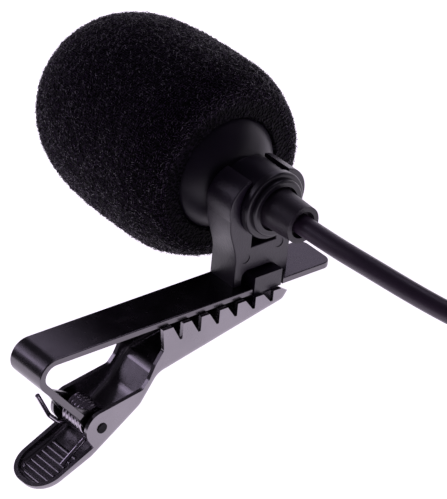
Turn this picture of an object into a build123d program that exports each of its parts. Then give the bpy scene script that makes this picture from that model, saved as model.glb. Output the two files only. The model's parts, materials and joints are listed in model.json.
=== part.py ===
from build123d import *
import math
import os

# Lavalier microphone on a tie clip, in millimetres.
# It is drawn in the clip's own axes: the strap's top face is Z = 0 with its tip at X = 0, the strap runs
# towards -X, and the microphone's axis is parallel to Y, with the windscreen on the +Y side. At the end the
# whole object is tipped nose-down about Y until the strap's tip and the thumb lever both meet the table.

# Clip strap: sheet metal with a hairpin at the back and two ears for the pivot
STRAP_WIDTH = 5.5
STRAP_THICK = 0.8
STRAP_BACK_X = -38.9
HAIRPIN_RADIUS = 1.75
HAIRPIN_TURN = 133.3
TONGUE_LENGTH = 7.7
TIP_CORNER = 1.2
EAR_THICK = 0.4
EAR_INSET = 0.4
EAR_RADIUS = 1.35
EAR_OVERLAP = 1.2
EDGE_ROUND = 0.14

# Pivot and torsion spring
PIVOT_X = -32.45
PIVOT_Z = -10.85
PIN_RADIUS = 0.6
PIN_HEAD_RADIUS = 0.64
PIN_HEAD_THICK = 0.12
PIN_PLAY = 0.03
SPRING_WIRE = 0.55
SPRING_RADIUS = 1.675
SPRING_PITCH = 0.56
SPRING_TURNS = 6
SPRING_START = 234.0
SPRING_END = 262.0

# Toothed jaw: a channel of thinner sheet that ends in a thumb lever
JAW_SHEET = 0.5
JAW_NOSE_X = -6.65
JAW_STRAP_GAP = 0.04
JAW_PLAY = 0.05
JAW_HALF = STRAP_WIDTH / 2 + JAW_PLAY + JAW_SHEET
JAW_BEND = 1.15
JAW_EAR_RADIUS = 2.08
JAW_EAR_START = 93
JAW_EAR_TURN = 114
# The underside's corners from the chin back to the throat, and the walls' back edge above the throat
JAW_CHIN = (-5.9, -1.0)
JAW_HEEL = (-7.15, -2.88)
JAW_NECK = (-24.6, -6.8)
JAW_THROAT = (-26.75, -10.1)
JAW_UNDER_ROUNDS = [1.1, 1.6, 3.0, 3.0]
JAW_BACK_X = -24.8
JAW_BACK = [(-24.45, -3.6), (-25.5, -5.2), (-26.2, -6.8), (-27.0, -7.8)]
JAW_BACK_ROUNDS = [0.5, 0.8, 0.8, 0.6]
LEVER_END_X = -40.7
LEVER_CORNER = 2.9
LEVER_RIM_X = -33.4
LEVER_RIM_Z = -13.1
LEVER_SLOPE = 0.5
LEVER_KNEE_X = -33.2
LEVER_KNEE_DEPTH = 1.75
LEVER_END_DEPTH = 1.3
TOOTH_COUNT = 6
TOOTH_PITCH = 2.58
TOOTH_SLANT = 1.3
TOOTH_ROOT = 0.32
TOOTH_DEPTH = 1.3
TOOTH_DEPTH_STEP = 0.13
RIDGE_COUNT = 7
RIDGE_FIRST_X = -34.7
RIDGE_PITCH = 0.72
RIDGE_RADIUS = 0.32
RIDGE_HEIGHT = 0.14

# Microphone axis, and the stations along it
MIC_X = -9.62
MIC_Z = 9.99
NECK_RADIUS = 3.85
NECK_END_Y = 5.75
COLLAR_RADIUS = 4.07
COLLAR_THICK = 0.9
BOSS_RADIUS = 3.45
BOSS_LENGTH = 0.6
RECESS_RADIUS = 2.72
BELL_RADIUS = 6.69
BELL_RIM_Y = 8.6
BARREL_RADIUS = 5.2
CAPSULE_RADIUS = 4.85
CAPSULE_LENGTH = 4.5
CAPSULE_REAR_Y = 7.65
GRILLE_WALL = 0.35
GRILLE_FRONT_Y = 15.4
GRILLE_HOLE_RADIUS = 0.4
BARREL_END_Y = 12.2
SEAT_THICK = 0.45
WIRE_BORE_RADIUS = 2.9
SPIGOT_END_Y = 2.6
STEM_RADIUS = 1.9
STEM_LENGTH = 2.2
RECESS_FLOOR_Y = 0.4
CRIMP_LENGTH = 0.9
CORE_RADIUS = 0.28
CORE_OFFSET = 0.65
CAN_WALL = 0.25
SOUND_HOLE_RADIUS = 1.1
BOARD_THICK = 0.6
FILM_THICK = 0.04

# Holder: an open ring on a foot that straddles the strap
HOLDER_NEAR_Y = 1.3
HOLDER_FAR_Y = 5.5
HOLDER_HALF = 3.85
HOLDER_RING_THICK = 1.25
RING_PLAY = 0.05
RING_MOUTH_ANGLE = 48.0
SLOT_HALF = 1.78
SLOT_FLOOR_Z = 4.67
CLAW_X = (-11.5, -7.6)
CLAW_TOP_Z = 1.35
CLAW_PLAY = 0.3
FOOT_THICK = 0.6
POCKET_DEPTH = 1.4
POCKET_X = (-12.45, -7.75)
POCKET_TOP_Z = 1.75
POCKET_ARCH = 0.8
EJECTOR_PLACES = [(-12.1, 3.35), (-7.3, 4.0)]
CLAW_LIP = 0.45
FOOT_MIDDLE_GAP = 0.5
EJECTOR_RADIUS = 0.6
EJECTOR_DEPTH = 0.08
HOLDER_EDGE_ROUND = 0.15

# Foam windscreen
FOAM_RADIUS = 11.82
FOAM_MIDDLE_Y = 14.3
FOAM_REAR_Y = 8.3
FOAM_FRONT_REACH = 22.1
FOAM_REAR_REACH = 11.1
FOAM_PLAY = 0.3
FOAM_REAR_POWER = 1.92
FOAM_FRONT_POWER = 3.86
FOAM_LIP_ROUND = 1.1

# Cable and strain relief
CABLE_RADIUS = 1.17
BOOT_LENGTH = 4.7
BOOT_ROOT_RADIUS = 2.42
BOOT_END_RADIUS = 2.22
BOOT_CUP_RADIUS = 1.62
BOOT_CUP_DEPTH = 0.9

# Free cable: hand-laid route from the boot to the coil, and from the coil to the plug, on the table
CABLE_ROUTE = [
    (13.568, -19.65, 13.674), (13.568, -25.0, 13.674), (14.1, -31.0, 13.3), (15.29, -37.29, 11.7),
    (16.8, -42.5, 10.0), (18.94, -49.26, 8.59), (20.4, -54.04, 8.59),
]
TAIL_ROUTE = [
    (46.8, -63.13, 1.57), (51.88, -59.58, 1.57), (55.42, -54.13, 2.0), (57.21, -47.88, 3.25), (57.21, -42.3, 3.25),
]
COIL_CENTRE = (36.9, -49.0)
COIL_INNER_TURN = 10.0
COIL_SPIRAL_TURNS = 3.1
COIL_STEP_TURNS = 0.3
COIL_LAYERS = 4
TIE_THICK = 0.4
TIE_WIDTH = 5.0
TIE_ANGLE = 242.0
TIE_PLAY = 0.03

# Jack plug, 3.5 mm with four contacts, lying along +Y at the end of the tail
PLUG_BOOT_LENGTH = 9.0
PLUG_BOOT_ROOT = 2.6
PLUG_BOOT_END = 1.75
SHELL_RADIUS = 3.25
SHELL_LENGTH = 15.0
SHELL_ROUND = 0.6
JACK_RADIUS = 1.75
JACK_SOCKET_DEPTH = 4.0
JACK_TANG_RADIUS = 1.4
SLEEVE_LENGTH = 5.0
CONTACT_LENGTH = 2.1
CONTACT_GAP = 0.5
TIP_LENGTH = 3.3
TIP_NECK_RADIUS = 1.15

NODES = {}


def keep(name, shape):
    """Files one finished node under its name."""
    NODES[name] = shape


def side_face(*edges):
    """A closed outline given in X and Z, as a face in the plane Y = 0."""
    return Plane.XZ * make_face(list(edges))


def side_block(face, y_low, y_high):
    """The face carried from one Y to another."""
    return Pos(0, y_low, 0) * extrude(face, amount=-(y_high - y_low))


def box_between(low, high):
    """A box between two corners."""
    size = [b - a for a, b in zip(low, high)]
    return Pos(*low) * Box(*size, align=(Align.MIN, Align.MIN, Align.MIN))


def turned(*points):
    """A solid turned about the microphone's axis from (radius, y) points."""
    face = make_face(Polyline(*points, close=True))
    return Pos(MIC_X, 0, MIC_Z) * revolve(face, Axis.Y)


def rod(radius, y_low, y_high, x, z):
    """A round rod along Y."""
    return Pos(x, y_low, z) * Rot(-90, 0, 0) * Cylinder(
        radius, y_high - y_low, align=(Align.CENTER, Align.CENTER, Align.MIN)
    )


def polar(centre, radius, degrees):
    """A point at an angle about a centre, in X and Z."""
    a = math.radians(degrees)
    return (centre[0] + radius * math.cos(a), centre[1] + radius * math.sin(a))


# ---------------------------------------------------------------- clip

HAIRPIN = (STRAP_BACK_X, -STRAP_THICK / 2 - HAIRPIN_RADIUS)
TONGUE_ANGLE = 180 + HAIRPIN_TURN


def tongue_point(along, out):
    """A point on the tongue: along it from the bend, and out from its middle."""
    start = polar(HAIRPIN, HAIRPIN_RADIUS + out, 90 + HAIRPIN_TURN)
    return polar(start, along, TONGUE_ANGLE)


def strap_ribbon():
    half = STRAP_THICK / 2
    outline = [
        Line((STRAP_BACK_X, 0), (0, 0)),
        Line((0, 0), (0, -STRAP_THICK)),
        Line((0, -STRAP_THICK), (STRAP_BACK_X, -STRAP_THICK)),
        CenterArc(HAIRPIN, HAIRPIN_RADIUS - half, 90, HAIRPIN_TURN),
        CenterArc(HAIRPIN, HAIRPIN_RADIUS + half, 90, HAIRPIN_TURN),
        Line(tongue_point(0, -half), tongue_point(TONGUE_LENGTH, -half)),
        Line(tongue_point(TONGUE_LENGTH, -half), tongue_point(TONGUE_LENGTH, half)),
        Line(tongue_point(TONGUE_LENGTH, half), tongue_point(0, half)),
    ]
    ribbon = side_block(side_face(*outline), 0, STRAP_WIDTH)
    tip = ribbon.edges().filter_by(Axis.Z).group_by(Axis.X)[-1]
    ribbon = fillet(tip, TIP_CORNER)
    sides = [f for f in ribbon.faces().filter_by(Axis.Y) if f.area > STRAP_THICK * STRAP_WIDTH * 2]
    rim = [e for f in sides for e in f.edges() if e.length > STRAP_THICK * 1.01]
    return fillet(rim, EDGE_ROUND)


def strap_ear():
    half = STRAP_THICK / 2
    corners = [
        tongue_point(TONGUE_LENGTH - EAR_OVERLAP, -half),
        tongue_point(TONGUE_LENGTH, -half),
        tongue_point(TONGUE_LENGTH, half - 0.05),
        tongue_point(TONGUE_LENGTH - EAR_OVERLAP, half - 0.05),
    ]
    ring = Pos(PIVOT_X, PIVOT_Z) * Circle(EAR_RADIUS)
    tab = make_face(Polyline(*corners, close=True))
    return Plane.XZ * make_hull(ring.edges() + tab.edges())


def clip_strap():
    strap = strap_ribbon()
    for y in (EAR_INSET, STRAP_WIDTH - EAR_INSET - EAR_THICK):
        strap += side_block(strap_ear(), y, y + EAR_THICK)
    notch_x = (CLAW_X[0] - CLAW_PLAY, CLAW_X[1] + CLAW_PLAY)
    depth = HOLDER_NEAR_Y
    for low, high in ((-1, depth), (STRAP_WIDTH - depth, STRAP_WIDTH + 1)):
        strap -= box_between((notch_x[0], low, -STRAP_THICK - 1), (notch_x[1], high, 1))
    strap -= rod(PIN_RADIUS, -1, STRAP_WIDTH + 1, PIVOT_X, PIVOT_Z)
    keep("clip_strap", strap)


def pivot_pin():
    middle = STRAP_WIDTH / 2
    half = JAW_HALF + 0.02
    pin = rod(PIN_RADIUS, middle - half, middle + half, PIVOT_X, PIVOT_Z)
    for side in (-1, 1):
        low, high = sorted((middle + side * half, middle + side * (half + PIN_HEAD_THICK)))
        head = rod(PIN_HEAD_RADIUS, low, high, PIVOT_X, PIVOT_Z)
        outer = head.edges().sort_by(Axis.Y)[-1 if side > 0 else 0]
        pin += fillet(outer, PIN_HEAD_THICK * 0.7)
    keep("pivot_pin", pin)


def rim_z(x):
    """Height of the lever's rim."""
    return LEVER_RIM_Z + LEVER_SLOPE * (x - LEVER_RIM_X)


def jaw_web_line(dx, dz):
    """The underside of the jaw from its chin to the lever's end, moved by dx and dz."""
    knee = (LEVER_KNEE_X, rim_z(LEVER_KNEE_X) - LEVER_KNEE_DEPTH)
    end = (LEVER_END_X, rim_z(LEVER_END_X) - LEVER_END_DEPTH)
    slope = (knee[1] - end[1]) / (knee[0] - end[0])
    past = (end[0] - 2, end[1] - 2 * slope)
    chin = JAW_CHIN if dz == 0 else (1.0, JAW_CHIN[1] - 0.35)
    points = [chin, JAW_HEEL, JAW_NECK, JAW_THROAT, knee, past]
    points = [(x + dx, z + dz) for x, z in points]
    return FilletPolyline(*points, radius=JAW_UNDER_ROUNDS)


def jaw_side(dx, dz):
    """Everything above the web line, as a face."""
    web = jaw_web_line(dx, dz)
    first, last = web @ 0, web @ 1
    cap = Polyline((first.X, first.Y), (first.X, 20), (last.X, 20), (last.X, last.Y))
    return side_face(*web.edges(), *cap.edges())


def jaw_plan(inset, nose_x):
    """The jaw's outline from above, taken in by an inset."""
    middle = STRAP_WIDTH / 2
    half = JAW_HALF - inset
    end = LEVER_END_X + inset
    outline = Polyline(
        (nose_x, middle - half), (end, middle - half), (end, middle + half), (nose_x, middle + half), close=True
    )
    face = make_face(outline)
    corners = face.vertices().group_by(Axis.X)[0]
    return fillet(corners, LEVER_CORNER - inset)


def jaw_skyline():
    """What stands above the jaw's walls, teeth and ears, to be cut away."""
    top = -STRAP_THICK - JAW_STRAP_GAP
    pivot = (PIVOT_X, PIVOT_Z)
    ear_end = polar(pivot, JAW_EAR_RADIUS, JAW_EAR_START + JAW_EAR_TURN)
    rim_end_x = LEVER_END_X - 1
    rim_end = (rim_end_x, rim_z(rim_end_x))
    ear_start = polar(pivot, JAW_EAR_RADIUS, JAW_EAR_START)
    back = FilletPolyline((JAW_BACK_X, top), *JAW_BACK, ear_start, radius=JAW_BACK_ROUNDS)
    rest = Polyline(ear_end, (LEVER_RIM_X, LEVER_RIM_Z), rim_end, (rim_end_x, 30), (1, 30), (1, top), (JAW_BACK_X, top))
    ear = CenterArc(pivot, JAW_EAR_RADIUS, JAW_EAR_START, JAW_EAR_TURN)
    return side_face(*back.edges(), ear, *rest.edges())


def tooth_notch(index):
    """One slanted notch between two teeth."""
    top = -STRAP_THICK - JAW_STRAP_GAP
    x = JAW_NOSE_X - TOOTH_PITCH * (index + 1)
    floor = top - TOOTH_DEPTH - TOOTH_DEPTH_STEP * index
    half = TOOTH_ROOT / 2
    outline = Polyline(
        (x - TOOTH_SLANT, top), (x - half, floor), (x + half, floor), (x + half, top), (x + half, 1),
        (x - TOOTH_SLANT, 1), close=True,
    )
    return side_face(*outline.edges())


def nose_cut():
    """The last half notch and the rounded chin at the jaw's nose."""
    top = -STRAP_THICK - JAW_STRAP_GAP
    outline = Polyline(
        (JAW_NOSE_X - TOOTH_SLANT, top), (JAW_NOSE_X, top - 0.85), (1, top - 0.85), (1, 1), (JAW_NOSE_X - TOOTH_SLANT, 1),
        close=True,
    )
    return side_face(*outline.edges())


def clip_jaw():
    middle = STRAP_WIDTH / 2
    far = 20
    outer = side_block(jaw_side(0, 0), -far, far) & extrude(Pos(0, 0, -30) * jaw_plan(0, JAW_NOSE_X), 60)
    under = [e for e in outer.edges() if is_under_edge(e)]
    outer = fillet(under, JAW_BEND)
    shift = (-0.27 / 0.5 * JAW_SHEET, 0.44 / 0.5 * JAW_SHEET)
    inner = side_block(jaw_side(*shift), -far, far) & extrude(Pos(0, 0, -30) * jaw_plan(JAW_SHEET, 1), 60)
    inner_under = [e for e in inner.edges() if is_under_edge(e)]
    inner = fillet(inner_under, JAW_BEND - JAW_SHEET)
    jaw = outer - inner
    jaw -= side_block(jaw_skyline(), -far, far)
    for index in range(TOOTH_COUNT):
        jaw -= side_block(tooth_notch(index), -far, far)
    jaw -= side_block(nose_cut(), -far, far)
    jaw -= rod(PIN_RADIUS + PIN_PLAY, -far, far, PIVOT_X, PIVOT_Z)
    jaw += lever_ridges()
    keep("clip_jaw", jaw)


def is_under_edge(edge):
    """Edges along the jaw's underside, where the web meets a wall."""
    box = edge.bounding_box()
    if box.max.Z > 10:
        return False
    return box.size.X > 0.05


def lever_floor_z(x):
    """Height of the lever's inner floor."""
    share = (x - LEVER_KNEE_X) / (LEVER_END_X - LEVER_KNEE_X)
    depth = LEVER_KNEE_DEPTH + share * (LEVER_END_DEPTH - LEVER_KNEE_DEPTH)
    return rim_z(x) - depth + JAW_SHEET * 1.12


def lever_ridges():
    """Grip ridges across the lever's floor."""
    ridges = Part()
    half = JAW_HALF - JAW_BEND - 0.15
    middle = STRAP_WIDTH / 2
    for index in range(RIDGE_COUNT):
        x = RIDGE_FIRST_X - RIDGE_PITCH * index
        z = lever_floor_z(x) - RIDGE_RADIUS + RIDGE_HEIGHT
        ridges += rod(RIDGE_RADIUS, middle - half, middle + half, x, z)
    return ridges


def torsion_spring():
    """Coil about the pin, one leg resting on the lever and one hooked past the tongue."""
    turns = SPRING_TURNS - (SPRING_END - SPRING_START) / 360
    near_y = STRAP_WIDTH / 2 - SPRING_PITCH * turns / 2
    helix = Helix(SPRING_PITCH, SPRING_PITCH * turns, SPRING_RADIUS)
    helix = Pos(PIVOT_X, near_y, PIVOT_Z) * Rot(0, -SPRING_START, 0) * Rot(-90, 0, 0) * helix
    near, far = helix @ 0, helix @ 1
    lever_leg = FilletPolyline(
        (-36.6, near_y - 0.15, lever_floor_z(-36.6) + SPRING_WIRE), near - (helix % 0) * 0.5, near, radius=[0.34]
    )
    tongue_leg = FilletPolyline(
        far, far + (helix % 1) * 1.75, (-35.4, far.Y + 0.75, -11.3), (-37.1, far.Y + 0.85, -8.2), radius=[0.7, 0.8]
    )
    wire = Wire(lever_leg.edges() + helix.edges() + tongue_leg.edges())
    section = Plane(origin=wire @ 0, z_dir=wire % 0) * Circle(SPRING_WIRE / 2)
    keep("torsion_spring", sweep(section, path=wire))


# ---------------------------------------------------------------- holder


def mirrored(edges):
    """An outline's left half with its mirror image about the microphone's axis."""
    return list(edges) + [mirror(e, Plane.YZ) for e in edges]


def holder_outline():
    """The holder from the side, with X = 0 on the microphone's axis."""
    inner = NECK_RADIUS + RING_PLAY
    centre = (0, MIC_Z)
    mouth = 90 + RING_MOUTH_ANGLE
    tip_in = polar(centre, inner, mouth - 6)
    tip_out = polar(centre, inner + 0.42, mouth - 9)
    slot_turn = math.degrees(math.acos(SLOT_HALF / inner))
    slot_top = polar(centre, inner, 180 + slot_turn)
    waist_z = 2.8
    shoulder = (-inner - HOLDER_RING_THICK, MIC_Z - 1.2)
    left = [
        Line((0, 0), (-HOLDER_HALF, 0)),
        Line((-HOLDER_HALF, 0), (-HOLDER_HALF, waist_z)),
        Spline((-HOLDER_HALF, waist_z), (-HOLDER_HALF - 0.68, 5.85), shoulder, tangents=[(0, 1), (0, 1)]),
        ThreePointArc(shoulder, (-4.78, MIC_Z + 1.96), tip_out),
        Line(tip_out, tip_in),
        CenterArc(centre, inner, mouth - 6, 180 + slot_turn - mouth + 6),
        Line(slot_top, (-SLOT_HALF, SLOT_FLOOR_Z)),
        Line((-SLOT_HALF, SLOT_FLOOR_Z), (0, SLOT_FLOOR_Z)),
    ]
    return mirrored(left)


def holder_claws():
    """Blocks that drop through the strap's notches, with feet that turn in under it."""
    x0, x1 = CLAW_X
    reach = HOLDER_NEAR_Y - 0.1
    under = -STRAP_THICK - 0.02
    lip = CLAW_LIP
    foot_end = (STRAP_WIDTH - FOOT_MIDDLE_GAP) / 2
    pocket_y = HOLDER_NEAR_Y + POCKET_DEPTH
    near = box_between((x0, 0, -STRAP_THICK), (x1, reach, CLAW_TOP_Z))
    near += box_between((x0, reach, 0), (x1, pocket_y, CLAW_TOP_Z))
    near += box_between((x0, lip, under - FOOT_THICK), (x1, reach, 0))
    near += box_between((x0, lip, under - FOOT_THICK), (x1, foot_end, under))
    far_y = STRAP_WIDTH
    far = box_between((x0, far_y - reach, -STRAP_THICK), (x1, far_y, 0.5))
    far += box_between((x0, far_y - reach, under - FOOT_THICK), (x1, far_y - lip, 0))
    far += box_between((x0, STRAP_WIDTH - foot_end, under - FOOT_THICK), (x1, far_y - lip, under))
    return near + far


def mic_holder():
    body = Pos(MIC_X, 0, 0) * side_block(side_face(*holder_outline()), HOLDER_NEAR_Y, HOLDER_FAR_Y)
    rims = [f for f in body.faces().filter_by(Axis.Y)]
    edges = [e for f in rims for e in f.edges() if e.bounding_box().min.Z > 0.01 and e.length > 0.6]
    body = fillet(edges, HOLDER_EDGE_ROUND)
    low = (POCKET_X[0], HOLDER_NEAR_Y - 1, -1)
    pocket = box_between(low, (POCKET_X[1], HOLDER_NEAR_Y + POCKET_DEPTH, POCKET_TOP_Z))
    arch = pocket.edges().filter_by(Axis.Y).group_by(Axis.Z)[-1]
    body -= fillet(arch, POCKET_ARCH)
    for x, z in EJECTOR_PLACES:
        body -= rod(EJECTOR_RADIUS, HOLDER_NEAR_Y - 1, HOLDER_NEAR_Y + EJECTOR_DEPTH, x, z)
    body += holder_claws()
    keep("mic_holder", body)


# ---------------------------------------------------------------- microphone


def turned_edges(*edges):
    """A solid turned about the microphone's axis from an outline in (radius, y)."""
    return Pos(MIC_X, 0, MIC_Z) * revolve(make_face(list(edges)), Axis.Y)


def ring(r_in, r_out, y_low, y_high):
    """A washer or tube on the microphone's axis."""
    body = rod(r_out, y_low, y_high, MIC_X, MIC_Z)
    if r_in:
        body -= rod(r_in, y_low - 1, y_high + 1, MIC_X, MIC_Z)
    return body


def bell_housing():
    chamber = CAPSULE_RADIUS + 0.05
    groove = NECK_RADIUS - 0.45
    shelf_y = CAPSULE_REAR_Y - SEAT_THICK
    outline = Polyline(
        (BELL_RADIUS, BELL_RIM_Y), (BELL_RADIUS, BELL_RIM_Y + 0.35), (BELL_RADIUS - 0.25, BELL_RIM_Y + 0.5),
        (BARREL_RADIUS, BELL_RIM_Y + 0.5), (BARREL_RADIUS, BARREL_END_Y), (chamber, BARREL_END_Y), (chamber, shelf_y),
        (WIRE_BORE_RADIUS, shelf_y), (WIRE_BORE_RADIUS, COLLAR_THICK), (NECK_RADIUS, COLLAR_THICK),
        (NECK_RADIUS, NECK_END_Y - 0.7), (groove, NECK_END_Y - 0.45), (groove, NECK_END_Y),
    )
    bell = ThreePointArc((groove, NECK_END_Y), (5.25, NECK_END_Y + 1.15), (BELL_RADIUS, BELL_RIM_Y))
    keep("bell_housing", turned_edges(*outline.edges(), bell))


def rear_collar():
    spigot = WIRE_BORE_RADIUS - 0.03
    collar = turned(
        (RECESS_RADIUS, -BOSS_LENGTH), (BOSS_RADIUS, -BOSS_LENGTH), (BOSS_RADIUS, 0), (COLLAR_RADIUS, 0),
        (COLLAR_RADIUS, COLLAR_THICK), (spigot, COLLAR_THICK), (spigot, SPIGOT_END_Y), (STEM_RADIUS + 0.05, SPIGOT_END_Y),
        (STEM_RADIUS + 0.05, RECESS_FLOOR_Y), (RECESS_RADIUS, RECESS_FLOOR_Y),
    )
    lips = [e for e in collar.edges().filter_by(GeomType.CIRCLE) if e.center().Y < 0.01 and e.radius > RECESS_RADIUS + 0.1]
    outer_lips = [e for e in lips if e.center().Y < -0.01 or e.radius > BOSS_RADIUS + 0.1]
    keep("rear_collar", fillet(outer_lips, 0.28))


def strain_relief():
    bore = CABLE_RADIUS + 0.02
    boot = turned(
        (bore, RECESS_FLOOR_Y + STEM_LENGTH), (STEM_RADIUS, RECESS_FLOOR_Y + STEM_LENGTH), (STEM_RADIUS, RECESS_FLOOR_Y),
        (RECESS_RADIUS - 0.08, RECESS_FLOOR_Y), (RECESS_RADIUS - 0.08, -0.1), (BOOT_ROOT_RADIUS, -0.3),
        (BOOT_END_RADIUS, -BOOT_LENGTH), (BOOT_CUP_RADIUS, -BOOT_LENGTH), (BOOT_CUP_RADIUS, BOOT_CUP_DEPTH - BOOT_LENGTH),
        (bore, BOOT_CUP_DEPTH - BOOT_LENGTH),
    )
    keep("strain_relief", boot)


def cable_entry():
    """The cable's own end inside the boot, its crimp and its two cores."""
    crimp_y = RECESS_FLOOR_Y + STEM_LENGTH + 0.1
    keep("cable_entry", rod(CABLE_RADIUS, BOOT_CUP_DEPTH - BOOT_LENGTH, crimp_y + CRIMP_LENGTH, MIC_X, MIC_Z))
    keep("cable_crimp", ring(CABLE_RADIUS + 0.02, CABLE_RADIUS + 0.55, crimp_y, crimp_y + CRIMP_LENGTH))
    solder_y = CAPSULE_REAR_Y - 0.25
    for name, side in (("signal_wire", 1), ("shield_wire", -1)):
        core = rod(CORE_RADIUS, crimp_y + CRIMP_LENGTH, solder_y, MIC_X + side * CORE_OFFSET, MIC_Z)
        keep(name, core)


def capsule():
    """The electret capsule, from the solder joints at its back to the felt at its front."""
    rear = CAPSULE_REAR_Y
    front = rear + CAPSULE_LENGTH
    inner = CAPSULE_RADIUS - CAN_WALL
    board_y = rear + 0.3
    keep("capsule_seat", ring(WIRE_BORE_RADIUS + 0.4, CAPSULE_RADIUS, rear - SEAT_THICK, rear))
    can = ring(inner, CAPSULE_RADIUS, rear, front) + ring(SOUND_HOLE_RADIUS, inner + 0.01, front - CAN_WALL, front)
    keep("capsule_can", can + ring(inner - 0.6, inner + 0.01, rear, rear + CAN_WALL))
    keep("capsule_board", ring(0, inner - 0.03, board_y, board_y + BOARD_THICK))
    joints = Part()
    for side in (-1, 1):
        joints += rod(0.5, rear - 0.25, board_y, MIC_X + side * CORE_OFFSET, MIC_Z)
    keep("solder_joints", joints)
    fet_y = board_y + BOARD_THICK
    keep("fet_chip", box_between((MIC_X - 0.85, fet_y, MIC_Z - 0.6), (MIC_X + 0.85, fet_y + 0.7, MIC_Z + 0.6)))
    stack = front - CAN_WALL - 0.02
    keep("diaphragm_ring", ring(inner - 0.75, inner - 0.05, stack - 0.45, stack))
    keep("diaphragm", ring(0, inner - 0.05, stack - 0.45 - FILM_THICK, stack - 0.45))
    spacer_y = stack - 0.45 - FILM_THICK
    keep("spacer_ring", ring(inner - 0.6, inner - 0.05, spacer_y - 0.08, spacer_y))
    plate_y = spacer_y - 0.08
    plate = ring(0, inner - 0.05, plate_y - 0.4, plate_y)
    for index in range(6):
        x, z = polar((MIC_X, MIC_Z), 2.4, 60 * index)
        plate -= rod(0.35, plate_y - 1, plate_y + 1, x, z)
    keep("backplate", plate)
    keep("backplate_holder", ring(inner - 0.85, inner - 0.05, fet_y + 0.02, plate_y - 0.4))
    keep("dust_felt", ring(0, CAPSULE_RADIUS - 0.05, front, front + 0.35))


def front_grille():
    """Perforated cap that closes the barrel in front of the capsule."""
    fit = BARREL_RADIUS + 0.03
    outer = fit + GRILLE_WALL
    rear = BELL_RIM_Y + 1.6
    cap = turned(
        (fit, rear), (outer, rear), (outer, GRILLE_FRONT_Y), (0, GRILLE_FRONT_Y), (0, GRILLE_FRONT_Y - GRILLE_WALL),
        (fit, GRILLE_FRONT_Y - GRILLE_WALL),
    )
    edge = cap.edges().filter_by(GeomType.CIRCLE).group_by(Axis.Y)[-1]
    cap = fillet(edge, GRILLE_WALL * 0.85)
    for count, radius in ((1, 0), (6, 1.5), (12, 3.0), (18, 4.3)):
        for index in range(count):
            x, z = polar((MIC_X, MIC_Z), radius, 360 / count * index)
            cap -= rod(GRILLE_HOLE_RADIUS, GRILLE_FRONT_Y - 1, GRILLE_FRONT_Y + 1, x, z)
    keep("front_grille", cap)


def foam_radius(y):
    """Radius of the windscreen at a station along the axis."""
    if y < FOAM_MIDDLE_Y:
        share = (FOAM_MIDDLE_Y - y) / FOAM_REAR_REACH
        return FOAM_RADIUS * math.sqrt(1 - share**FOAM_REAR_POWER)
    share = (y - FOAM_MIDDLE_Y) / FOAM_FRONT_REACH
    return FOAM_RADIUS * math.sqrt(1 - share**FOAM_FRONT_POWER)


def windscreen():
    bore = BARREL_RADIUS + 0.03 + GRILLE_WALL + FOAM_PLAY
    mouth = BELL_RADIUS + FOAM_PLAY
    lip_y = FOAM_REAR_Y + FOAM_LIP_ROUND
    front_y = FOAM_MIDDLE_Y + FOAM_FRONT_REACH
    lip_r = foam_radius(lip_y)
    rear = Spline((lip_r, lip_y), (foam_radius(12), 12), (FOAM_RADIUS, FOAM_MIDDLE_Y), tangents=[(0.38, 1), (0, 1)])
    stations = [FOAM_MIDDLE_Y + FOAM_FRONT_REACH * share for share in (0, 0.3, 0.55, 0.75, 0.88, 0.96)]
    nose = [(foam_radius(y), y) for y in stations] + [(0, front_y)]
    front = Spline(*nose, tangents=[(0, 1), (-1, 0)])
    lip = ThreePointArc((lip_r - 1.5, FOAM_REAR_Y), (lip_r - 0.45, FOAM_REAR_Y + 0.33), (lip_r, lip_y))
    inside = Polyline(
        (0, front_y), (0, GRILLE_FRONT_Y + FOAM_PLAY), (bore, GRILLE_FRONT_Y + FOAM_PLAY), (bore, BELL_RIM_Y + 0.9),
        (mouth, BELL_RIM_Y + 0.9), (mouth, FOAM_REAR_Y), (lip_r - 1.5, FOAM_REAR_Y),
    )
    keep("windscreen", turned_edges(lip, *rear.edges(), *front.edges(), *inside.edges()))


# ---------------------------------------------------------------- free cable and its plug


def corner_radii(route):
    """The largest arcs that a route's runs allow."""
    points = [Vector(*p) for p in route]
    runs = [b - a for a, b in zip(points, points[1:])]
    radii = []
    for a, b in zip(runs, runs[1:]):
        shorter = min(a.length, b.length)
        radii.append(0.45 * shorter / math.tan(math.radians(a.get_angle(b)) / 2))
    return radii


def cable_along(route):
    """The cable swept along a route; returns it with its length."""
    radii = corner_radii(route)
    print("cable arcs", [round(r, 1) for r in radii])
    path = FilletPolyline(*route, radius=radii)
    section = Plane(origin=path @ 0, z_dir=path % 0) * Circle(CABLE_RADIUS)
    return sweep(section, path=path), path.length


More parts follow.
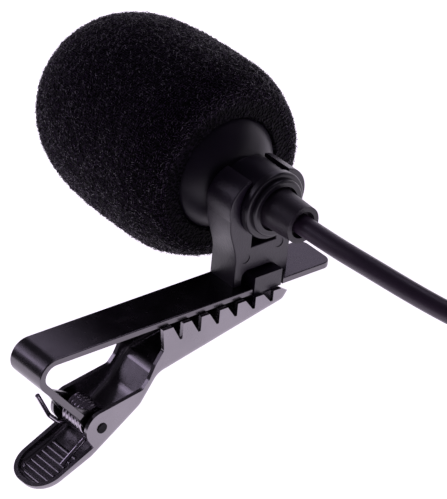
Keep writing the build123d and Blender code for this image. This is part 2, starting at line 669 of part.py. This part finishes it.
def free_cable():
    cable, run_length = cable_along(CABLE_ROUTE)
    tail, tail_length = cable_along(TAIL_ROUTE)
    keep("cable_tube", cable)
    keep("cable_tail", tail)
    outer_turn = COIL_INNER_TURN + COIL_SPIRAL_TURNS * 2 * CABLE_RADIUS
    height = COIL_LAYERS * 2 * CABLE_RADIUS
    coil = Cylinder(outer_turn + CABLE_RADIUS, height) - Cylinder(COIL_INNER_TURN - CABLE_RADIUS, height * 2)
    coil = fillet(coil.edges().filter_by(GeomType.CIRCLE), CABLE_RADIUS * 0.9)
    centre = Pos(COIL_CENTRE[0], COIL_CENTRE[1], TIE_THICK + height / 2)
    keep("cable_coil", centre * coil)
    turns = COIL_LAYERS * COIL_SPIRAL_TURNS + (COIL_LAYERS - 1) * COIL_STEP_TURNS
    coil_length = turns * math.pi * (COIL_INNER_TURN + outer_turn)
    print("cable length", round(run_length, 1), round(coil_length, 1), round(tail_length, 1))
    print("cable section", round(math.pi * CABLE_RADIUS**2, 4))
    r_in = math.sqrt((COIL_INNER_TURN - CABLE_RADIUS) ** 2 - TIE_WIDTH**2 / 4) - TIE_PLAY
    r_out = outer_turn + CABLE_RADIUS + TIE_PLAY
    window = Box(r_out - r_in, TIE_WIDTH * 2, height + 2 * TIE_PLAY)
    band = fillet(Box(r_out - r_in + 2 * TIE_THICK, TIE_WIDTH, height + 2 * TIE_THICK).edges().filter_by(Axis.Y), 0.9)
    band -= fillet(window.edges().filter_by(Axis.Y), 0.6)
    keep("coil_tie", centre * Rot(0, 0, TIE_ANGLE) * Pos((r_in + r_out) / 2, 0, 0) * band)


def plug_piece(*outline):
    """A solid turned about the plug's axis, from (radius, distance along it) points."""
    x, y, z = TAIL_ROUTE[-1]
    axis_points = [(0, outline[0][1]), *outline, (0, outline[-1][1])]
    face = make_face(Polyline(*axis_points, close=True).edges())
    return Pos(x, y, z) * revolve(face, Axis.Y)


def jack_plug():
    x, y, z = TAIL_ROUTE[-1]
    at = PLUG_BOOT_LENGTH
    boot = plug_piece((PLUG_BOOT_END, 0), (PLUG_BOOT_END + 0.2, 0.4), (PLUG_BOOT_ROOT, at - 1), (PLUG_BOOT_ROOT, at))
    groove_r = PLUG_BOOT_END + 0.2
    for index in range(4):
        groove_y = 1.6 + 1.4 * index
        boot -= Pos(x, y, z) * Rot(-90, 0, 0) * Pos(0, 0, groove_y) * (Cylinder(4, 0.55) - Cylinder(groove_r, 1))
    keep("plug_boot", boot)
    shell = plug_piece((SHELL_RADIUS, at), (SHELL_RADIUS, at + SHELL_LENGTH))
    shell = fillet(shell.edges().filter_by(GeomType.CIRCLE), SHELL_ROUND)
    at += SHELL_LENGTH
    tang = (JACK_TANG_RADIUS, at - JACK_SOCKET_DEPTH)
    keep("plug_shell", shell - plug_piece(tang, (JACK_TANG_RADIUS, at + 1)))
    sleeve = plug_piece(tang, (JACK_TANG_RADIUS, at), (JACK_RADIUS, at), (JACK_RADIUS, at + SLEEVE_LENGTH))
    keep("jack_sleeve", sleeve)
    insulators = Part()
    at += SLEEVE_LENGTH
    for name in ("jack_ring_inner", "jack_ring_outer", "jack_tip"):
        insulators += plug_piece((JACK_RADIUS, at), (JACK_RADIUS, at + CONTACT_GAP))
        at += CONTACT_GAP
        if name != "jack_tip":
            keep(name, plug_piece((JACK_RADIUS, at), (JACK_RADIUS, at + CONTACT_LENGTH)))
            at += CONTACT_LENGTH
    keep("jack_insulators", insulators)
    neck = at + TIP_LENGTH * 0.36
    crown = at + TIP_LENGTH * 0.62
    tip = plug_piece(
        (JACK_RADIUS - 0.25, at), (TIP_NECK_RADIUS, neck), (JACK_RADIUS - 0.1, crown), (0.45, at + TIP_LENGTH)
    )
    keep("jack_tip", tip)


# ---------------------------------------------------------------- placing on the table


def resting_place():
    """The move that tips the object on to its strap tip and lever, over the middle of its box."""
    tip = (0, -STRAP_THICK)
    heel = (LEVER_END_X + JAW_BEND, rim_z(LEVER_END_X + JAW_BEND) - LEVER_END_DEPTH + JAW_BEND * 1.02)
    run, rise = tip[0] - heel[0], tip[1] - heel[1]
    tilt = math.degrees(math.atan2(rise, run) + math.asin(JAW_BEND / math.hypot(run, rise)))
    turn = Rot(0, tilt, 0)
    boxes = [(turn * shape).bounding_box() for shape in NODES.values()]
    low = [min(tuple(box.min)[axis] for box in boxes) for axis in range(3)]
    high = [max(tuple(box.max)[axis] for box in boxes) for axis in range(3)]
    return Pos(-(low[0] + high[0]) / 2, -(low[1] + high[1]) / 2, -low[2]) * turn, tilt


def build():
    clip_strap()
    pivot_pin()
    clip_jaw()
    torsion_spring()
    mic_holder()
    bell_housing()
    rear_collar()
    strain_relief()
    cable_entry()
    capsule()
    front_grille()
    windscreen()
    place, tilt = resting_place()
    print("tilt", round(tilt, 3))
    for name in NODES:
        NODES[name] = place * NODES[name]
    free_cable()
    jack_plug()
    for label, point in (("pivot", (PIVOT_X, 0, PIVOT_Z)), ("axis", (MIC_X, 0, MIC_Z)), ("tip", (0, 0, 0))):
        corner = (place * Pos(*point)).position
        print(label, [round(v, 4) for v in corner])


if __name__ == "__main__":
    build()
    os.makedirs("parts", exist_ok=True)
    for name, shape in NODES.items():
        export_step(shape, f"parts/{name}.step")
        print(name, round(shape.volume, 3), len(shape.solids()), shape.is_valid)
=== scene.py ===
import json
import math
import random

import bpy
from mathutils import Matrix, Quaternion, Vector, noise


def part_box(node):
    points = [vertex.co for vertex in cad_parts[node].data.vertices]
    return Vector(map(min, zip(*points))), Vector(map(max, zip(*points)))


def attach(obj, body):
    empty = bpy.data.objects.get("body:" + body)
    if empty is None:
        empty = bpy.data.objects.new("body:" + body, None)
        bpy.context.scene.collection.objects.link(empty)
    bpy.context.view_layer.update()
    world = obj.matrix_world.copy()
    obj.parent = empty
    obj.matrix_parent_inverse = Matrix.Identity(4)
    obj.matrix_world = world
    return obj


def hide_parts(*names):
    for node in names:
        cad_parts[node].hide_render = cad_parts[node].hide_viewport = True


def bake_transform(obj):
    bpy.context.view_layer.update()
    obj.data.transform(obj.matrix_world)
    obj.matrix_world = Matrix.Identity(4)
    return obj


# A lavalier microphone on a tie clip, lying on a light table. Everything is in metres, in the CAD's frame.
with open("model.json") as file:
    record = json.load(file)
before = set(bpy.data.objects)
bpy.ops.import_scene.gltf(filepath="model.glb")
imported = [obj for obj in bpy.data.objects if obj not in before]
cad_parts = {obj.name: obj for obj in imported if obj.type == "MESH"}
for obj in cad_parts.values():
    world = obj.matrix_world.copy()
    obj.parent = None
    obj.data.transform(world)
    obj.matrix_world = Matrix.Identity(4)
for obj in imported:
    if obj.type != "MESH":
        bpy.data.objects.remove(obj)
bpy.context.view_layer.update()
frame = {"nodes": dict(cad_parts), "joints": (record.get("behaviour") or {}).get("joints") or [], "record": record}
NODES = frame["nodes"]
JOINTS = {joint["name"]: joint for joint in frame["joints"]}
MM = 0.001

# Camera: where it looks, from which side, and how the picture is turned
VIEW_AIM = (0.01007, -0.00753, 0.00431)
VIEW_AZIMUTH = -27.3
VIEW_ELEVATION = 44.16
VIEW_ROLL = -18.31
VIEW_DISTANCE = 0.4
VIEW_LENS = 255.35
VIEW_NEAREST = 0.01

# The studio's cool violet light: each softbox's direction, its width in metres and its power in watts
LIGHT_TINT = (0.86, 0.76, 1.0)
WORLD_STRENGTH = 0.055
SOFTBOX_DISTANCE = 0.5
SOFTBOXES = {
    "key": ((0.75, 0.1, 0.75), 0.2, 0.22),
    "back": ((-0.3, 0.9, 0.55), 0.3, 0.5),
    "horizon": ((0.73, 0.64, 0.25), 0.26, 0.11),
}

# The table: its width in metres, its colour, and the glow that makes it a light table
FLOOR_WIDTH = 3.0
FLOOR_COLOUR = (0.9, 0.9, 0.9, 1)
FLOOR_ROUGHNESS = 0.9
FLOOR_GLOW_COLOUR = (0.95, 0.88, 1, 1)
FLOOR_GLOW = 1.14

# Free cable: its route's points in millimetres, the same as in the CAD source, and the coil's turns
CABLE_DIAMETER = 2.34 * MM
CABLE_ROUTE = [
    (13.568, -19.65, 13.674), (13.568, -25.0, 13.674), (14.1, -31.0, 13.3), (15.29, -37.29, 11.7),
    (16.8, -42.5, 10.0), (18.94, -49.26, 8.59), (20.4, -54.04, 8.59),
]
TAIL_ROUTE = [
    (46.8, -63.13, 1.57), (51.88, -59.58, 1.57), (55.42, -54.13, 2.0), (57.21, -47.88, 3.25), (57.21, -42.3, 3.25),
]
COIL_CENTRE = (36.9, -49.0)
COIL_INNER_TURN = 10.0
COIL_SPIRAL_TURNS = 3.1
COIL_STEP_TURNS = 0.3
COIL_LAYERS = 4
COIL_POINTS = 24
COIL_TAIL_GAP = 2

# Windscreen: where its widest ring is, the two curves that meet there, and the lip round its mouth
FOAM_WIDEST = 6.0 * MM
FOAM_REAR_REACH = 11.1 * MM
FOAM_REAR_POWER = 1.92
FOAM_FRONT_POWER = 3.86
FOAM_LIP_ROUND = 1.1 * MM
FOAM_LIP_INSET = 1.5 * MM
FRONT_POINTS = 90
REAR_POINTS = 19
LIP_POINTS = 8

# Windscreen's hole: its play on the bell and on the grille, and how deep the bell sits in it
MOUTH_PLAY = 0.05 * MM
MOUTH_EDGE_WIDTH = 0.1 * MM
MOUTH_EDGE_DEPTH = 0.35 * MM
SEAT_DEPTH = 1.2 * MM
GRILLE_PLAY = 0.3 * MM

# Windscreen's skin: the mesh's step, the material's pores with their painted shade, and two sizes of bumps that
# fade out at the nose
FOAM_STEP = 0.27 * MM
MOUTH_STEP = FOAM_STEP * 1.5
FOAM_PORE = 0.33 * MM
FOAM_CELL = 0.4 * MM
FOAM_ROUGHNESS = 0.13 * MM
WIDE_CELL = FOAM_CELL * 2.6
WIDE_SHARE = 0.6
NOSE_FADE = 2

# Struts on the skin: three-sided, thicker at the start than at the end. Ranges are for random draws: how steeply
# one rises, how far it is lifted in millimetres, and how its length varies
FOAM_STRUTS = 24000
STRUT_LENGTH = 0.3 * MM
STRUT_RADIUS = 0.033 * MM
STRUT_CORNERS = (0.0, 2.0944, 4.1888)
STRUT_START_WIDTH = 1.25
STRUT_END_WIDTH = 0.8
STRUT_RISE = (-0.1, 0.85)
STRUT_LIFT = (-0.02, 0.1)
STRUT_STRETCH = (0.6, 1.3)
STRUT_BACK = 0.3
STRUT_SEED = 7
SKIN_SEED = 3

# Nickel plating: the jaw's shade and the strap's
JAW_SHADE = 0.24
STRAP_SHADE = 0.13

# Finishes: the parts of the noise's range that are used, the size of smears beside clouds, and the grain's depth
CLOUD_RANGE = (0.35, 0.65)
SMEAR_RANGE = (0.3, 0.7)
SMEAR_SCALE = 2.3
GRAIN_DEPTH = 0.0001
PORE_DEPTH = 0.0003


# ---------------------------------------------------------------- camera and light


def place_camera():
    """The camera at the photograph's viewing angle, turned about its own line of sight."""
    camera = bpy.data.objects.new("camera", bpy.data.cameras.new("camera"))
    camera.data.lens = VIEW_LENS
    camera.data.clip_start = VIEW_NEAREST
    turn = Matrix.Rotation(math.radians(VIEW_AZIMUTH), 4, "Z")
    turn @= Matrix.Rotation(math.radians(90 - VIEW_ELEVATION), 4, "X")
    turn @= Matrix.Rotation(math.radians(VIEW_ROLL), 4, "Z")
    back = Matrix.Translation((0, 0, VIEW_DISTANCE))
    camera.matrix_world = Matrix.Translation(VIEW_AIM) @ turn @ back
    bpy.context.scene.collection.objects.link(camera)
    bpy.context.scene.camera = camera


def softbox(name, direction, width, power):
    """A square area light that faces the frame's origin."""
    light = bpy.data.lights.new(name, "AREA")
    light.size = width
    light.energy = power
    light.color = LIGHT_TINT
    lamp = bpy.data.objects.new(name, light)
    towards = Vector(direction).normalized()
    facing = towards.to_track_quat("Z", "Y").to_matrix().to_4x4()
    lamp.matrix_world = Matrix.Translation(towards * SOFTBOX_DISTANCE) @ facing
    bpy.context.scene.collection.objects.link(lamp)


def light_studio():
    """A dim tinted world and the softboxes."""
    world = bpy.data.worlds.new("studio")
    bpy.context.scene.world = world
    world.use_nodes = True
    background = world.node_tree.nodes["Background"]
    background.inputs["Color"].default_value = (*LIGHT_TINT, 1)
    background.inputs["Strength"].default_value = WORLD_STRENGTH
    for name, (direction, width, power) in SOFTBOXES.items():
        softbox(name, direction, width, power)
    bpy.context.scene.view_settings.view_transform = "Standard"


def light_table():
    """The pale floor, which glows like a light table."""
    bpy.ops.mesh.primitive_plane_add(size=FLOOR_WIDTH)
    floor = bpy.context.object
    floor.name = "floor"
    paint = bpy.data.materials.new("floor")
    paint.use_nodes = True
    shader = paint.node_tree.nodes["Principled BSDF"]
    shader.inputs["Base Color"].default_value = FLOOR_COLOUR
    shader.inputs["Roughness"].default_value = FLOOR_ROUGHNESS
    shader.inputs["Specular IOR Level"].default_value = 0.0
    shader.inputs["Emission Color"].default_value = FLOOR_GLOW_COLOUR
    shader.inputs["Emission Strength"].default_value = FLOOR_GLOW
    floor.data.materials.append(paint)


# ---------------------------------------------------------------- free cable


def coil_turns():
    """Points along the coil: layers that wind in and out in turn, from the top one down."""
    pitch = CABLE_DIAMETER / MM
    outer = COIL_INNER_TURN + COIL_SPIRAL_TURNS * pitch
    x, y, z = CABLE_ROUTE[-1]
    angle = math.atan2(y - COIL_CENTRE[1], x - COIL_CENTRE[0])
    step = 2 * math.pi / COIL_POINTS
    points = []
    for layer in range(COIL_LAYERS):
        here, there = (outer, COIL_INNER_TURN) if layer % 2 == 0 else (COIL_INNER_TURN, outer)
        count = round(COIL_SPIRAL_TURNS * COIL_POINTS)
        drop = round(COIL_STEP_TURNS * COIL_POINTS) if layer < COIL_LAYERS - 1 else 0
        for index in range(1, count + drop + 1):
            angle += step
            radius = here + (there - here) * min(index / count, 1)
            fall = max(index - count, 0) / max(drop, 1) * pitch
            x = COIL_CENTRE[0] + radius * math.cos(angle)
            y = COIL_CENTRE[1] + radius * math.sin(angle)
            points.append((x, y, z - fall))
        z -= pitch
    return points


def smooth_line(name, points, diameter):
    """A NURBS curve on the points, as thick as the cable."""
    curve = bpy.data.curves.new(name, "CURVE")
    curve.dimensions = "3D"
    curve.bevel_depth = diameter / 2
    curve.bevel_resolution = 4
    curve.use_fill_caps = True
    spline = curve.splines.new("NURBS")
    spline.points.add(len(points) - 1)
    for point, place in zip(spline.points, points):
        point.co = (*(c * MM for c in place), 1)
    spline.order_u = 3
    spline.use_endpoint_u = True
    spline.resolution_u = 6
    line = bpy.data.objects.new(name, curve)
    bpy.context.scene.collection.objects.link(line)
    return line


def free_cable():
    """The cable from the boot to the plug as one line, in place of the CAD's cable pieces."""
    coil = coil_turns()
    while math.dist(coil[-1], TAIL_ROUTE[0]) < COIL_TAIL_GAP:
        coil.pop()
    cable = smooth_line("cable", CABLE_ROUTE + coil + TAIL_ROUTE, CABLE_DIAMETER)
    cable.data.materials.append(cable_jacket())
    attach(cable, "root")
    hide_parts("cable_tube", "cable_coil", "cable_tail")


# ---------------------------------------------------------------- materials


def new_material(name):
    """An empty node material, its shader, and the object's own coordinates."""
    material = bpy.data.materials.new(name)
    material.use_nodes = True
    tree = material.node_tree
    place = tree.nodes.new("ShaderNodeTexCoord").outputs["Object"]
    return material, tree, tree.nodes["Principled BSDF"], place


def noise_at(tree, place, scale, detail=3.0, roughness=0.5):
    """Noise whose grains are about 1/scale metres across."""
    texture = tree.nodes.new("ShaderNodeTexNoise")
    texture.inputs["Scale"].default_value = scale
    texture.inputs["Detail"].default_value = detail
    texture.inputs["Roughness"].default_value = roughness
    tree.links.new(place, texture.inputs["Vector"])
    return texture.outputs["Fac"]


def spread(tree, value, low, high, out_low, out_high):
    """The value's range from low to high, carried to another range."""
    remap = tree.nodes.new("ShaderNodeMapRange")
    for socket, number in zip(("From Min", "From Max", "To Min", "To Max"), (low, high, out_low, out_high)):
        remap.inputs[socket].default_value = number
    tree.links.new(value, remap.inputs["Value"])
    return remap.outputs["Result"]


def colour_between(tree, value, stops):
    """A colour ramp: stops are (position, (r, g, b))."""
    ramp = tree.nodes.new("ShaderNodeValToRGB")
    elements = ramp.color_ramp.elements
    while len(elements) < len(stops):
        elements.new(0.5)
    for element, (position, colour) in zip(elements, stops):
        element.position = position
        element.color = (*colour, 1)
    tree.links.new(value, ramp.inputs["Fac"])
    return ramp.outputs["Color"]


def bumped(tree, shader, height, strength, distance):
    """Raise the surface by the height, without changing the mesh."""
    bump = tree.nodes.new("ShaderNodeBump")
    bump.inputs["Strength"].default_value = strength
    bump.inputs["Distance"].default_value = distance
    tree.links.new(height, bump.inputs["Height"])
    tree.links.new(bump.outputs["Normal"], shader.inputs["Normal"])


def finish(name, low, high, rough, metallic=0.0, specular=0.5, cloud=180, grain=5000, relief=0.02, coat=0.0):
    """A procedural surface: colour clouds, roughness that wanders with them, and a fine grain."""
    material, tree, shader, place = new_material(name)
    clouds = noise_at(tree, place, cloud, 4.0)
    colour = colour_between(tree, clouds, list(zip(CLOUD_RANGE, (low, high))))
    tree.links.new(colour, shader.inputs["Base Color"])
    smears = noise_at(tree, place, cloud * SMEAR_SCALE, 5.0, 0.6)
    tree.links.new(spread(tree, smears, *SMEAR_RANGE, *rough), shader.inputs["Roughness"])
    shader.inputs["Metallic"].default_value = metallic
    shader.inputs["Specular IOR Level"].default_value = specular
    shader.inputs["Coat Weight"].default_value = coat
    bumped(tree, shader, noise_at(tree, place, grain, 2.0), relief, GRAIN_DEPTH)
    return material


def black_nickel(name, shade):
    """Dark nickel plating, a little paler where shade is higher."""
    low = tuple(shade * tint for tint in (1.0, 0.95, 1.02))
    high = tuple(shade * tint for tint in (1.12, 1.06, 1.14))
    return finish(name, low, high, (0.2, 0.3), metallic=1.0, relief=0.003)


def cable_jacket():
    return finish(
        "cable_jacket", (0.034, 0.02, 0.039), (0.042, 0.025, 0.048), (0.36, 0.48),
        grain=3500, relief=0.12,
    )


def holder_plastic():
    return finish(
        "holder_plastic", (0.012, 0.0075, 0.017), (0.019, 0.0125, 0.026), (0.3, 0.4),
        specular=0.62, grain=4200, relief=0.3,
    )


def bell_paint():
    return finish(
        "bell_black", (0.009, 0.006, 0.0135), (0.013, 0.0088, 0.019), (0.34, 0.42),
        specular=0.3, grain=6000, relief=0.05,
    )


def collar_plastic():
    return finish(
        "collar_plastic", (0.009, 0.0065, 0.012), (0.013, 0.0095, 0.017), (0.26, 0.34),
        relief=0.05,
    )


def boot_rubber():
    return finish(
        "boot_rubber", (0.015, 0.0105, 0.018), (0.024, 0.017, 0.028), (0.4, 0.52),
        grain=3000, relief=0.25,
    )


def foam_black():
    """The foam's skin: paler rims of the foam's own colour, and pores darkened towards their middles with painted
    shade.
    """
    material, tree, shader, place = new_material("foam_black")
    cells = tree.nodes.new("ShaderNodeTexVoronoi")
    cells.inputs["Scale"].default_value = 1 / FOAM_PORE
    tree.links.new(place, cells.inputs["Vector"])
    depth = cells.outputs["Distance"]
    # Painted shade: each pore is darkest at its middle, standing in for the shade down in the foam's open cells
    stops = [(0.25, (0.0006, 0.0002, 0.0011)), (0.5, (0.0022, 0.0012, 0.0038)), (0.8, (0.012, 0.008, 0.016))]
    shaded_pores = colour_between(tree, depth, stops)
    tree.links.new(shaded_pores, shader.inputs["Base Color"])
    shader.inputs["Roughness"].default_value = 0.7
    shader.inputs["Specular IOR Level"].default_value = 0.08
    bumped(tree, shader, depth, 1.0, PORE_DEPTH)
    return material


def foam_strands():
    """The struts on the skin: some pale, some nearly black."""
    return finish(
        "foam_strands", (0.008, 0.0038, 0.013), (0.07, 0.04, 0.095), (0.28, 0.4),
        cloud=2500, specular=0.4,
    )


# Slots with no function of their own: darkest and palest colour, range of roughness, and metal or not
PLAIN = {
    # Painted shade: the pin's steel is near black, so that its end reads as a dark hole
    "pin_steel": ((0.004, 0.004, 0.005), (0.03, 0.028, 0.032), (0.5, 0.7), 1.0),
    "spring_steel": ((0.36, 0.33, 0.38), (0.48, 0.44, 0.5), (0.14, 0.2), 1.0),
    "capsule_metal": ((0.7, 0.7, 0.71), (0.78, 0.78, 0.79), (0.25, 0.35), 1.0),
    "grille_metal": ((0.04, 0.04, 0.045), (0.06, 0.06, 0.065), (0.3, 0.4), 1.0),
    "board_green": ((0.03, 0.16, 0.08), (0.04, 0.2, 0.1), (0.3, 0.45), 0.0),
    "chip_black": ((0.02, 0.02, 0.02), (0.03, 0.03, 0.03), (0.4, 0.5), 0.0),
    "solder": ((0.62, 0.62, 0.64), (0.75, 0.75, 0.77), (0.15, 0.3), 1.0),
    "copper": ((0.7, 0.38, 0.22), (0.82, 0.48, 0.28), (0.2, 0.35), 1.0),
    "white_wire": ((0.75, 0.75, 0.72), (0.82, 0.82, 0.8), (0.35, 0.45), 0.0),
    "clear_film": ((0.7, 0.68, 0.6), (0.78, 0.76, 0.7), (0.1, 0.15), 1.0),
    "insulator_white": ((0.72, 0.72, 0.7), (0.8, 0.8, 0.78), (0.4, 0.5), 0.0),
    "felt_black": ((0.01, 0.01, 0.01), (0.03, 0.03, 0.03), (0.9, 1.0), 0.0),
    "plug_shell_black": ((0.018, 0.016, 0.02), (0.024, 0.021, 0.026), (0.3, 0.42), 0.0),
    "plug_nickel": ((0.66, 0.63, 0.57), (0.74, 0.71, 0.65), (0.1, 0.18), 1.0),
    "insulator_black": ((0.01, 0.01, 0.01), (0.02, 0.02, 0.02), (0.25, 0.35), 0.0),
    "tie_black": ((0.012, 0.012, 0.013), (0.035, 0.035, 0.037), (0.8, 0.95), 0.0),
}


def dress_nodes():
    """Every CAD node gets its slot's procedural material, and the strap a darker nickel."""
    made = {
        "black_nickel": black_nickel("black_nickel", JAW_SHADE),
        "holder_plastic": holder_plastic(),
        "bell_black": bell_paint(),
        "collar_plastic": collar_plastic(),
        "boot_rubber": boot_rubber(),
        "cable_jacket": cable_jacket(),
        "foam": foam_black(),
        "struts": foam_strands(),
    }
    for name, (low, high, rough, metallic) in PLAIN.items():
        made[name] = finish(name, low, high, rough, metallic=metallic)
    for part in frame["record"]["subparts"]:
        node = NODES[part["node"]]
        node.data.materials.clear()
        node.data.materials.append(made[part["material_slot"]])
    NODES["clip_strap"].data.materials[0] = black_nickel("strap_nickel", STRAP_SHADE)
    return made


# ---------------------------------------------------------------- spring


def wound_spring():
    """The spring as one smooth-shaded mesh in place of its CAD node."""
    node = NODES["torsion_spring"]
    mesh = node.data.copy()
    mesh.transform(node.matrix_world)
    mesh.polygons.foreach_set("use_smooth", [True] * len(mesh.polygons))
    spring = bpy.data.objects.new("spring", mesh)
    bpy.context.scene.collection.objects.link(spring)
    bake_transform(spring)
    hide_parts("torsion_spring")


# ---------------------------------------------------------------- windscreen


def foam_outline(low, high, radius):
    """The windscreen's outer line as (radius, y), from its nose to its flat rear face."""
    widest = low + FOAM_WIDEST
    front_reach = high - widest
    line = []
    for index in range(FRONT_POINTS + 1):
        turn = math.pi / 2 * index / FRONT_POINTS
        share = math.cos(turn) ** (2 / FOAM_FRONT_POWER)
        line.append((radius * math.sqrt(max(1 - share**FOAM_FRONT_POWER, 0)), widest + front_reach * share))
    lip_y = low + FOAM_LIP_ROUND
    for index in range(1, REAR_POINTS + 1):
        y = widest + (lip_y - widest) * index / REAR_POINTS
        share = (widest - y) / FOAM_REAR_REACH
        line.append((radius * math.sqrt(1 - share**FOAM_REAR_POWER), y))
    lip = line[-1][0]
    for index in range(1, LIP_POINTS + 1):
        turn = math.pi / 2 * index / LIP_POINTS
        line.append((lip - FOAM_LIP_INSET * (1 - math.cos(turn)), lip_y - FOAM_LIP_ROUND * math.sin(turn)))
    return line


def even_line(line, step):
    """The same line with its points a step apart."""
    total = sum(math.dist(a, b) for a, b in zip(line, line[1:]))
    count = round(total / step)
    out, gone, index = [line[0]], 0.0, 0
    for k in range(1, count):
        target = total * k / count
        while gone + math.dist(line[index], line[index + 1]) < target:
            gone += math.dist(line[index], line[index + 1])
            index += 1
        a, b = line[index], line[index + 1]
        t = (target - gone) / math.dist(a, b)
        out.append((a[0] + (b[0] - a[0]) * t, a[1] + (b[1] - a[1]) * t))
    return out + [line[-1]]


def foam_struts(made, skin):
    """The cut ends and bridges of the foam's cells, lying on and just over its skin."""
    draw = random.Random(STRUT_SEED)
    corners = [Vector((math.cos(angle), math.sin(angle), 0)) for angle in STRUT_CORNERS]
    verts, faces = [], []
    for place, outward in draw.sample(skin, FOAM_STRUTS):
        aside = outward.orthogonal().normalized()
        aside.rotate(Quaternion(outward, draw.uniform(0, 2 * math.pi)))
        along = (aside + outward * draw.uniform(*STRUT_RISE)).normalized()
        start = place - along * (STRUT_BACK * STRUT_LENGTH) + outward * draw.uniform(*STRUT_LIFT) * MM
        length = STRUT_LENGTH * draw.uniform(*STRUT_STRETCH)
        turn = along.to_track_quat("Z", "Y")
        first = len(verts)
        for step, width in ((0, STRUT_START_WIDTH), (length, STRUT_END_WIDTH)):
            verts += [start + along * step + turn @ (corner * STRUT_RADIUS * width) for corner in corners]
        for k in range(3):
            a, b = first + k, first + (k + 1) % 3
            faces.append((a, b, b + 3, a + 3))
        faces += [(first + 2, first + 1, first), (first + 3, first + 4, first + 5)]
    mesh = bpy.data.meshes.new("foam_struts")
    mesh.from_pydata(verts, [], faces)
    mesh.materials.append(made["struts"])
    struts = bpy.data.objects.new("foam_struts", mesh)
    bpy.context.scene.collection.objects.link(struts)
    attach(struts, "foam")


def foam_windscreen(made):
    """The windscreen as one turned shell with a rough skin, and struts on it."""
    low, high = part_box("windscreen")
    bell_low, bell_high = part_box("bell_housing")
    grille_low, grille_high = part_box("front_grille")
    axis = Vector(JOINTS["windscreen_off"]["pos_m"])
    radius = (high.x - low.x) / 2
    mouth = (bell_high.x - bell_low.x) / 2 + MOUTH_PLAY
    bore = (grille_high.x - grille_low.x) / 2 + GRILLE_PLAY
    outer = even_line(foam_outline(low.y, high.y, radius), FOAM_STEP)
    rear = (mouth + MOUTH_EDGE_WIDTH, low.y)
    seat = low.y + SEAT_DEPTH
    bottom = grille_high.y + GRILLE_PLAY
    inner = [rear, (mouth, low.y + MOUTH_EDGE_DEPTH), (mouth, seat), (bore, seat), (bore, bottom)]
    line = outer + even_line([outer[-1], *inner], MOUTH_STEP)[1:]
    around = round(2 * math.pi * radius / FOAM_STEP)
    middle = Vector((axis.x, 0, axis.z))
    verts, faces = [], []
    for r, y in line[1:]:
        for k in range(around):
            turn = 2 * math.pi * k / around
            place = middle + Vector((r * math.cos(turn), y, r * math.sin(turn)))
            outward = Vector((math.cos(turn), 0, math.sin(turn)))
            bumps = noise.noise(place / FOAM_CELL) + WIDE_SHARE * noise.noise(place / WIDE_CELL)
            verts.append(place + outward * (bumps * FOAM_ROUGHNESS * min(1, r / radius * NOSE_FADE)))
    rings = len(line) - 1
    for ring in range(rings - 1):
        for k in range(around):
            a, b = ring * around + k, ring * around + (k + 1) % around
            faces.append((a, b, b + around, a + around))
    nose = len(verts)
    verts.append(middle + Vector((0, line[0][1], 0)))
    faces += [(nose, (k + 1) % around, k) for k in range(around)]
    back = len(verts)
    verts.append(middle + Vector((0, line[-1][1], 0)))
    last = (rings - 1) * around
    faces += [(back, last + k, last + (k + 1) % around) for k in range(around)]
    mesh = bpy.data.meshes.new("foam")
    mesh.from_pydata(verts, [], faces)
    mesh.polygons.foreach_set("use_smooth", [True] * len(mesh.polygons))
    mesh.materials.append(made["foam"])
    foam = bpy.data.objects.new("foam", mesh)
    bpy.context.scene.collection.objects.link(foam)
    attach(foam, "foam")
    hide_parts("windscreen")
    # Every ring has as many points, so the small ones at the nose give up more of theirs to keep the struts even
    outside = len(outer) - 1
    skin = [(verts[k].copy(), mesh.vertices[k].normal.copy()) for k in range(outside * around)]
    shares = [min(1.0, math.hypot(place.x - axis.x, place.z - axis.z) / radius) for place, _ in skin]
    draw = random.Random(SKIN_SEED)
    foam_struts(made, [point for point, share in zip(skin, shares) if draw.random() < share])


place_camera()
free_cable()
light_studio()
light_table()
MADE = dress_nodes()
wound_spring()
foam_windscreen(MADE)
